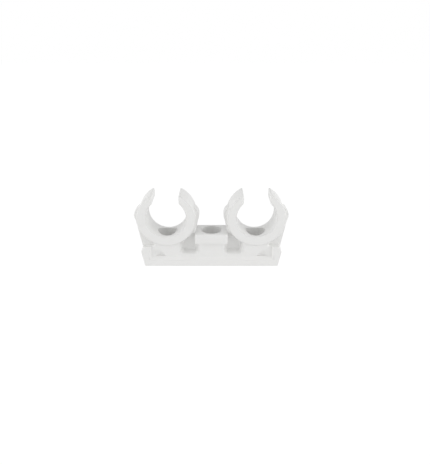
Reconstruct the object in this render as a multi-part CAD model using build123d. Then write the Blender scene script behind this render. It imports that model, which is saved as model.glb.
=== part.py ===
from build123d import *
import math
import os

# Twin snap-in clip for two plastic water pipes, moulded in one piece.
# Millimetres. X runs along the bar, Y along the pipes (front is -Y), Z up from the wall face.

# Pipe seats
pipe_diameter = 20.0
pipe_pitch = 45.0
bore_height = 26.25
ring_wall = 4.8
finger_thinning = 1.35
mouth_gap = 13.1
body_depth = 14.0

# Bar that lies on the wall, with raised blocks at its leaning ends, bevelled above their widest place
end_lean = 10.8
band_height = 3.4
relief = 1.5
floor_height = 6.25
block_height = 10.6
block_foot = 3.4
block_offset = 1.9
block_bevel_foot = 8.0
block_bevel = 0.95

# Posts under the rings and under the screw cap
pedestal_width = 13.2
post_width = 13.5
root_round = 2.2
pedestal_flare = 0.9

# Screw cap between the rings
cap_width = 16.7
cap_thickness = 4.95
cap_height = 17.4

# Ribs round the outside of the rings, with a rounded shoulder on each side
rib_thickness = 6.0
rib_inset = 0.7
shoulder_drop = 2.35
shoulder_radius = 5.0
shoulder_angle = 24.0
shoulder_blend = 3.5

# Thin web at half depth behind the drafted pockets beside the middle post
web_thickness = 2.0
pocket_draft = 15.0
pocket_round = 1.0

# Screw holes with a seat for the screw head
head_diameter = 10.0
screw_diameter = 5.0
seat_height = 11.5

# Scooped hollow low on each pedestal, beside the end block
hollow_radius = 3.6
hollow_height = 4.2
hollow_reach = 3.0
hollow_lean = 17.0
hollow_roll = 20.0

# Rounded edges
tip_round = 0.6
throat_round = 0.4
cap_corner = 1.3
cap_edge = 0.8
block_edge = 1.3
block_round = 0.8
bar_edge = 0.6

# Chamfered edges
chamfer_angle = 45.0
ring_edge = 0.5
post_edge = 0.7
rib_edge = 0.4
head_edge = 0.25

# Sizes that follow from the ones above
bore_radius = pipe_diameter / 2
ring_radius = bore_radius + ring_wall
wall_middle = bore_radius + ring_wall / 2
half_depth = body_depth / 2
relief_half = half_depth - relief
pocket_mouth = relief_half - post_edge
post_half = post_width / 2
ring_x = pipe_pitch / 2
band_top = band_height + relief
pedestal_outer = ring_x + pedestal_width / 2
pedestal_inner = ring_x - pedestal_width / 2
block_inner = pedestal_outer + block_offset
bar_half = block_inner + block_foot
cap_middle = cap_height - cap_thickness / 2
overlap = ring_wall / 4
rib_foot = cap_height - 3 * cap_edge / 4
same_place = rib_edge / 10
sides = (-1, 1)


def lean_x(height):
    """Half length of the clip at a height on its leaning ends."""
    return bar_half + height * math.tan(math.radians(end_lean))


def front_plate(outline, depth):
    """Plate of the given half depth from a closed outline in X and Z."""
    return extrude(Plane.XZ * outline, amount=depth, both=True)


def edged_plate(outline, depth, edge):
    """Such a plate with its front and back edges chamfered all round."""
    rim = extrude(Plane.XZ.offset(depth - edge) * outline, amount=edge, taper=chamfer_angle)
    return front_plate(outline, depth - edge) + rim + mirror(rim, about=Plane.XZ)


def outline_of(points):
    return make_face(Polyline(*points, close=True))


def mirrored(points):
    """Outline that is symmetrical about X = 0, from its right half."""
    return outline_of(points + [(-x, z) for x, z in reversed(points)])


def along_y(radius, x, z):
    """Round bar across the clip, on a pipe's axis."""
    return Pos(x, 0, z) * Rot(90, 0, 0) * Cylinder(radius, 2 * body_depth)


def mouth_corners(section):
    """Corners on the two faces of a ring's mouth, lowest first."""
    corners = section.vertices().filter_by(lambda v: abs(abs(v.X) - mouth_gap / 2) < same_place)
    return corners.sort_by(Axis.Y)


def ring():
    """One open ring at the origin: a saddle and two sprung fingers that thin out towards the mouth."""
    section = Circle(ring_radius) & Pos(0, -finger_thinning) * Circle(ring_radius)
    section -= Circle(bore_radius)
    section -= Pos(0, ring_radius) * Rectangle(mouth_gap, 2 * ring_radius)
    section = fillet(mouth_corners(section)[:2], throat_round)
    section = fillet(mouth_corners(section)[-2:], tip_round)
    return edged_plate(section, half_depth, ring_edge)


def rib_outline():
    """Rib round one pipe axis, with a rounded shoulder on each side of the ring."""
    top = bore_height - shoulder_drop
    arc_end = (
        wall_middle * math.cos(math.radians(shoulder_angle)),
        bore_height + wall_middle * math.sin(math.radians(shoulder_angle)),
    )
    right_foot = (lean_x(0) - rib_inset - ring_x, 0)
    right_top = (lean_x(top) - rib_inset - ring_x, top)
    left_foot = (-right_foot[0], 0)
    left_top = (-right_top[0], top)
    outline = make_face(
        Line(left_foot, right_foot)
        + Line(right_foot, right_top)
        + RadiusArc(right_top, arc_end, -shoulder_radius)
        + Line(arc_end, (-arc_end[0], arc_end[1]))
        + RadiusArc((-arc_end[0], arc_end[1]), left_top, -shoulder_radius)
        + Line(left_top, left_foot)
    )
    kinks = outline.vertices().filter_by(lambda v: abs(v.Y - top) < same_place)
    return fillet(kinks, shoulder_blend)


def pocket():
    """Cutter for the back pocket on the right of the middle post, narrower towards the web."""
    top = cap_height + cap_thickness
    outline = outline_of(
        [
            (post_half, floor_height),
            (pedestal_inner, floor_height),
            (pedestal_inner, top),
            (post_half, top),
        ]
    )
    roots = outline.vertices().filter_by(lambda v: abs(v.Y - floor_height) < same_place)
    outline = fillet(roots, root_round)
    depth = pocket_mouth - web_thickness / 2
    cutter = extrude(Plane.XZ.offset(-pocket_mouth) * outline, amount=depth, taper=pocket_draft)
    return fillet(cutter.faces().sort_by(Axis.Y)[0].edges(), pocket_round)


def web():
    """Ribs round the rings, cut off over the pockets, and the web that closes the pockets."""
    rib = edged_plate(rib_outline(), rib_thickness / 2, rib_edge)
    plate = Pos(-ring_x, 0, 0) * rib + Pos(ring_x, 0, 0) * rib
    plate -= Pos(0, 0, rib_foot / 2) * Box(pipe_pitch, body_depth, rib_foot)
    bridge = Pos(0, cap_middle / 2) * Rectangle(2 * (pedestal_inner + overlap), cap_middle)
    fill = front_plate(bridge, pocket_mouth)
    for cutter in (pocket(), mirror(pocket(), about=Plane.XZ)):
        fill -= cutter
        fill -= mirror(cutter, about=Plane.YZ)
    plate += fill
    for side in sides:
        plate -= along_y(wall_middle, side * ring_x, bore_height)
    return plate


def scoop(side, face):
    """Round cutter that leans into a pedestal's face and runs deepest at the bar."""
    x = side * (block_inner - hollow_reach)
    y = face * (relief_half + hollow_radius / math.cos(math.radians(hollow_lean)))
    turn = Rot(0, side * hollow_roll, 0) * Rot(-face * hollow_lean, 0, 0)
    return Pos(x, y, band_top + hollow_height) * turn * Cylinder(hollow_radius, 4 * hollow_height)


def posts():
    """Stepped core: end tiers, the pedestals under the rings and the post under the cap."""
    tier_end = block_inner + overlap
    outline = mirrored(
        [
            (tier_end, 0),
            (tier_end, block_height),
            (pedestal_outer, block_height),
            (pedestal_outer, bore_height),
            (pedestal_inner, bore_height),
            (pedestal_inner, floor_height),
            (post_half, floor_height),
            (post_half, cap_middle),
        ]
    )
    roots = outline.vertices().filter_by(lambda v: abs(v.Y - floor_height) < same_place)
    outline = fillet(roots, root_round)
    steps = outline.vertices().filter_by(lambda v: abs(v.Y - block_height) < same_place)
    flares = steps.filter_by(lambda v: abs(v.X) < block_inner)
    outline = fillet(flares, pedestal_flare)
    core = edged_plate(outline, relief_half, post_edge)
    for side in sides:
        core -= along_y(wall_middle, side * ring_x, bore_height)
        for face in sides:
            core -= scoop(side, face)
    return core


def bar():
    """Bar with a bevelled front and back edge, and a block at each end."""
    section = outline_of(
        [
            (-half_depth, 0),
            (half_depth, 0),
            (half_depth, band_height),
            (relief_half, band_top),
            (-relief_half, band_top),
            (-half_depth, band_height),
        ]
    )
    solid = extrude(Plane.YZ * section, amount=lean_x(band_top), both=True)
    for side in sides:
        profile = outline_of(
            [
                (side * block_inner, 0),
                (side * lean_x(block_height), 0),
                (side * lean_x(block_height), block_height),
                (side * block_inner, block_height),
            ]
        )
        block = front_plate(profile, half_depth)
        upright = block.edges().filter_by(Axis.Z).filter_by(lambda e: abs(e.center().X) < lean_x(0))
        solid += fillet(upright, block_edge)
    widest = lean_x(block_bevel_foot)
    envelope = mirrored([(lean_x(0), 0), (widest, block_bevel_foot), (widest - block_bevel, block_height)])
    corners = envelope.vertices().filter_by(lambda v: v.Y > same_place)
    envelope = fillet(corners, block_round)
    solid &= front_plate(envelope, half_depth)
    ends = solid.edges().filter_by(lambda e: abs(e.center().X) > block_inner + block_edge)
    ends = ends.filter_by(lambda e: e.center().Z > bar_edge and abs(e.center().Y) > relief_half)
    return fillet(ends, bar_edge)


def cap():
    """Block with rounded edges that takes the middle screw."""
    block = Pos(0, 0, cap_middle) * Box(cap_width, body_depth, cap_thickness)
    block = fillet(block.edges().filter_by(Axis.Z), cap_corner)
    return fillet(block.faces().sort_by(Axis.Z)[-1].edges(), cap_edge)


def screw_hole(x, top):
    """Screw shank hole through the bar, under a wider seat for the head."""
    shank = Pos(x, 0, seat_height / 2) * Cylinder(screw_diameter / 2, seat_height + overlap)
    height = top - seat_height
    head = Pos(x, 0, seat_height + height / 2) * Cylinder(head_diameter / 2, height)
    return shank + head


def twin_pipe_clip():
    solid = bar() + posts() + web() + cap()
    for side in sides:
        solid += Pos(side * ring_x, 0, bore_height) * ring()
    for side in sides:
        solid -= screw_hole(side * ring_x, bore_height)
    solid -= screw_hole(0, cap_height + overlap)
    rim = solid.edges().filter_by(GeomType.CIRCLE)
    rim = rim.filter_by(lambda e: (e.arc_center - Vector(0, 0, cap_height)).length < head_edge)
    return chamfer(rim, head_edge)


os.makedirs("parts", exist_ok=True)
export_step(twin_pipe_clip(), "parts/twin_pipe_clip.step")
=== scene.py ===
import math
import bpy
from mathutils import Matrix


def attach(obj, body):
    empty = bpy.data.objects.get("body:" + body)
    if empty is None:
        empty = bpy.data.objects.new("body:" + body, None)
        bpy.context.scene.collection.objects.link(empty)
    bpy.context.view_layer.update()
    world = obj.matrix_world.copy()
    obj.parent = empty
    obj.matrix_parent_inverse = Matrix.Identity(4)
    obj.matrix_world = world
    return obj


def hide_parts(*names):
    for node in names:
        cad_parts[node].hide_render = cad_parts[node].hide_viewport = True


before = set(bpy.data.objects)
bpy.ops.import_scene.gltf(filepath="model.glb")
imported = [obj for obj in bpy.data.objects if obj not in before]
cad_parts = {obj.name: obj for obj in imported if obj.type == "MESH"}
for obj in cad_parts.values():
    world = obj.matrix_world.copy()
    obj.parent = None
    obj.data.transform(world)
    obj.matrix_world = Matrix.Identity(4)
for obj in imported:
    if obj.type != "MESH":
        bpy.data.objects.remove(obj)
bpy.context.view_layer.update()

# Metres, in the clip's own frame: X along the bar, Y along the pipes, Z up from the wall face.
MM = 0.001
NODE = "twin_pipe_clip"
BODY = "root"

# Wedge beside the cap, between the web and the foot of a rib
WEDGE_REACH = (8.0 * MM, 14.2 * MM)
WEDGE_HEIGHT = (14.0 * MM, 16.9 * MM)
WEDGE_FOOT = 1.6 * MM
WEDGE_TOP = 5.6 * MM
FACES_UP = 0.5

# Mesh of the moulding: angles in degrees
MERGE_DISTANCE = 0.001 * MM
FLAT_ANGLE = 0.2
SMOOTH_ANGLE = 50
LARGE_FACES_FIRST = 100

# Camera, from the photograph's frame and the clip's place in it: rise in degrees
FOCAL_PIXELS = 450.4
LONG_SIDE_PIXELS = 465
SENSOR = 36.0
CAMERA_RISE = 23.38
CAMERA_REACH = 232.9 * MM
NEAREST_SEEN = 10 * MM
AIM = (1.83 * MM, 0.0, 15.80 * MM)

# Studio: soft light from both sides, low down, at angles in degrees from the front, and a dimmer sky
LAMPS = {
    "left_front_softbox": {"angle": -60, "rise": 15, "watts": 0.89},
    "right_front_softbox": {"angle": 60, "rise": 15, "watts": 0.98},
    "left_side_softbox": {"angle": -85, "rise": 12, "watts": 0.72},
    "right_side_softbox": {"angle": 85, "rise": 12, "watts": 0.72},
}
LAMP_REACH = 0.60
LAMP_SIZE = 0.50
SKY = 0.60
FLOOR_SIZE = 4.0
FLOOR_COLOUR = (0.9, 0.9, 0.9, 1.0)
FLOOR_GLOW_SHARE = 0.9
FLOOR_GLOW = 1.06
WHITE = (1.0, 1.0, 1.0, 1.0)
SEEN_RAYS = ("Is Camera Ray", "Is Glossy Ray", "Is Transmission Ray")

# White plastic
PLASTIC_COLOUR = (0.885, 0.885, 0.878, 1.0)
FLOW_COLOUR = (0.865, 0.862, 0.848, 1.0)
FLOW_STRETCH = (0.35, 1.0, 1.0)
FLOW_SCALE = 160.0
FLOW_DETAIL = 2.0
CLOUD_SCALE = 90.0
CLOUD_DETAIL = 3.0
GRAIN_SCALE = 2500.0
GRAIN_DETAIL = 3.0
GRAIN_HEIGHT = 0.01 * MM
GRAIN_STRENGTH = 0.4
PLASTIC_ROUGHNESS = 0.45
ROUGHNESS_SPREAD = 0.16
NOISE_MIDDLE = 0.5

# Sockets of a colour mix, which share their names with those of its other kinds
MIX_FACTOR = 0
MIX_FIRST = 6
MIX_SECOND = 7
MIX_RESULT = 2


class Field:
    """A shader value that takes part in plain arithmetic."""

    def __init__(self, finish, socket):
        self.finish = finish
        self.socket = socket

    def calc(self, operation, first, second):
        return self.finish.node("ShaderNodeMath", {"operation": operation}, {0: first, 1: second})

    def __add__(self, other):
        return self.calc("ADD", self, other)

    def __radd__(self, other):
        return self.calc("ADD", other, self)

    def __sub__(self, other):
        return self.calc("SUBTRACT", self, other)

    def __rsub__(self, other):
        return self.calc("SUBTRACT", other, self)

    def __mul__(self, other):
        return self.calc("MULTIPLY", self, other)

    def __rmul__(self, other):
        return self.calc("MULTIPLY", other, self)


class Finish:
    """An emptied node tree, with one way to add a node to it."""

    def __init__(self, owner, output):
        owner.use_nodes = True
        self.tree = owner.node_tree
        self.tree.nodes.clear()
        self.output = self.tree.nodes.new(output)

    def node(self, kind, settings, sockets, out=0):
        """Adds a node: first its settings, then the values or links of its sockets."""
        made = self.tree.nodes.new(kind)
        for name, value in settings.items():
            setattr(made, name, value)
        self.fill(made, sockets)
        return Field(self, made.outputs[out])

    def fill(self, made, sockets):
        for name, value in sockets.items():
            if isinstance(value, Field):
                self.tree.links.new(value.socket, made.inputs[name])
            else:
                made.inputs[name].default_value = value

    def show(self, shader):
        self.tree.links.new(shader.socket, self.output.inputs["Surface"])

    def noise(self, vector, scale, detail):
        return self.node("ShaderNodeTexNoise", {}, {"Vector": vector, "Scale": scale, "Detail": detail})

    def seen(self):
        """One for the rays that show a surface to the eye, else none."""
        camera, glossy, through = (self.node("ShaderNodeLightPath", {}, {}, name) for name in SEEN_RAYS)
        return camera + glossy + through


def new_finish(name):
    material = bpy.data.materials.new(name)
    return material, Finish(material, "ShaderNodeOutputMaterial")


def white_plastic():
    """Satin moulded plastic: faint flow marks, uneven gloss and a fine grain."""
    material, finish = new_finish("white_plastic_finish")
    place = finish.node("ShaderNodeTexCoord", {}, {}, "Object")
    along = finish.node("ShaderNodeMapping", {}, {"Vector": place, "Scale": FLOW_STRETCH})
    flow = finish.noise(along, FLOW_SCALE, FLOW_DETAIL)
    cloud = finish.noise(place, CLOUD_SCALE, CLOUD_DETAIL)
    grain = finish.noise(place, GRAIN_SCALE, GRAIN_DETAIL)
    colour = finish.node(
        "ShaderNodeMix",
        {"data_type": "RGBA"},
        {MIX_FACTOR: flow, MIX_FIRST: PLASTIC_COLOUR, MIX_SECOND: FLOW_COLOUR},
        MIX_RESULT,
    )
    surface = finish.node(
        "ShaderNodeBump",
        {},
        {"Height": grain, "Strength": GRAIN_STRENGTH, "Distance": GRAIN_HEIGHT},
    )
    shader = finish.node(
        "ShaderNodeBsdfPrincipled",
        {},
        {
            "Base Color": colour,
            "Roughness": PLASTIC_ROUGHNESS + (cloud - NOISE_MIDDLE) * ROUGHNESS_SPREAD,
            "Normal": surface,
        },
    )
    finish.show(shader)
    return material


def deselect_all():
    bpy.ops.object.select_all(action="DESELECT")


def make_active(piece):
    deselect_all()
    piece.select_set(True)
    bpy.context.view_layer.objects.active = piece


def edit_mesh():
    bpy.ops.object.mode_set(mode="EDIT")


def leave_mesh():
    bpy.ops.object.mode_set(mode="OBJECT")


def merged_copy():
    """Copy of the solid's mesh with its loose triangles joined."""
    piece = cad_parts[NODE].copy()
    piece.data = piece.data.copy()
    piece.name = "clip_moulding"
    piece.parent = None
    bpy.context.scene.collection.objects.link(piece)
    make_active(piece)
    edit_mesh()
    bpy.ops.mesh.select_all(action="SELECT")
    bpy.ops.mesh.remove_doubles(threshold=MERGE_DISTANCE)
    leave_mesh()
    return piece


def web_wedge():
    """Closes the slot between the web and the rib's foot on the right of the cap, wider towards the rib."""
    inner, outer = WEDGE_REACH
    low, high = WEDGE_HEIGHT
    deselect_all()
    bpy.ops.mesh.primitive_cube_add(
        size=1.0,
        location=((inner + outer) / 2, 0.0, (low + high) / 2),
        scale=(outer - inner, WEDGE_FOOT, high - low),
    )
    wedge = bpy.context.object
    edit_mesh()
    bpy.ops.mesh.select_mode(type="FACE")
    bpy.ops.mesh.select_all(action="DESELECT")
    leave_mesh()
    for face in wedge.data.polygons:
        face.select = face.normal.z > FACES_UP
    edit_mesh()
    bpy.ops.transform.resize(value=(1.0, WEDGE_TOP / WEDGE_FOOT, 1.0))
    leave_mesh()
    return wedge


def twin(wedge):
    """The same wedge on the left, with its own mesh."""
    other = wedge.copy()
    other.data = wedge.data.copy()
    other.location.x = -wedge.location.x
    bpy.context.scene.collection.objects.link(other)
    return other


def grow_together(piece, wedge):
    """Makes a wedge part of the moulding."""
    make_active(piece)
    union = piece.modifiers.new("union", "BOOLEAN")
    union.operation = "UNION"
    union.object = wedge
    bpy.ops.object.modifier_apply(modifier=union.name)
    bpy.data.objects.remove(wedge)


def smooth(piece):
    """Flat faces in one, and shading that stays flat on them and runs round the narrow edges."""
    make_active(piece)
    edit_mesh()
    bpy.ops.mesh.select_all(action="SELECT")
    bpy.ops.mesh.dissolve_limited(angle_limit=math.radians(FLAT_ANGLE))
    leave_mesh()
    bpy.ops.mesh.customdata_custom_splitnormals_clear()
    bpy.ops.object.shade_smooth_by_angle(angle=math.radians(SMOOTH_ANGLE))
    weighted = piece.modifiers.new("even_faces", "WEIGHTED_NORMAL")
    weighted.keep_sharp = True
    weighted.weight = LARGE_FACES_FIRST
    bpy.ops.object.modifier_apply(modifier=weighted.name)


def moulding():
    """The clip itself."""
    piece = merged_copy()
    right_wedge = web_wedge()
    for wedge in (twin(right_wedge), right_wedge):
        grow_together(piece, wedge)
    smooth(piece)
    piece.data.materials.clear()
    piece.data.materials.append(white_plastic())
    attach(piece, BODY)
    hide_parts(NODE)


def floor():
    """White ground that glows for the eye and still takes the clip's shadow."""
    bpy.ops.mesh.primitive_plane_add(size=FLOOR_SIZE)
    ground = bpy.context.object
    ground.name = "floor"
    material, finish = new_finish("floor_finish")
    matt = finish.node("ShaderNodeBsdfDiffuse", {}, {"Color": FLOOR_COLOUR})
    glow = finish.node("ShaderNodeEmission", {}, {"Color": WHITE, "Strength": FLOOR_GLOW})
    mixed = finish.node("ShaderNodeMixShader", {}, {0: finish.seen() * FLOOR_GLOW_SHARE, 1: matt, 2: glow})
    finish.show(mixed)
    # The glow is for the eye alone, so it isn't sampled as a lamp.
    material.cycles.emission_sampling = "NONE"
    ground.data.materials.append(material)


def sky():
    """White for the eye and for reflections, a plain soft light for the rest."""
    world = bpy.data.worlds.new("studio")
    bpy.context.scene.world = world
    finish = Finish(world, "ShaderNodeOutputWorld")
    strength = SKY + finish.seen() * (1.0 - SKY)
    back = finish.node("ShaderNodeBackground", {}, {"Color": WHITE, "Strength": strength})
    finish.show(back)


def lamps():
    """Softboxes that stand round the clip and face its middle."""
    for name, place in LAMPS.items():
        angle = math.radians(place["angle"])
        rise = math.radians(place["rise"])
        flat = LAMP_REACH * math.cos(rise)
        spot = (flat * math.sin(angle), -flat * math.cos(angle), LAMP_REACH * math.sin(rise))
        bpy.ops.object.light_add(type="AREA", location=spot, rotation=(math.pi / 2 - rise, 0.0, angle))
        lamp = bpy.context.object
        lamp.name = name
        lamp.data.shape = "SQUARE"
        lamp.data.size = LAMP_SIZE
        lamp.data.energy = place["watts"]


def camera():
    """Camera at the photograph's angle."""
    rise = math.radians(CAMERA_RISE)
    spot = (AIM[0], AIM[1] - CAMERA_REACH * math.cos(rise), AIM[2] + CAMERA_REACH * math.sin(rise))
    bpy.ops.object.camera_add(location=spot, rotation=(math.pi / 2 - rise, 0.0, 0.0))
    eye = bpy.context.object
    eye.data.sensor_width = SENSOR
    eye.data.lens = FOCAL_PIXELS * SENSOR / LONG_SIDE_PIXELS
    eye.data.clip_start = NEAREST_SEEN
    bpy.context.scene.camera = eye


moulding()
floor()
sky()
lamps()
camera()
bpy.context.scene.view_settings.view_transform = "Standard"
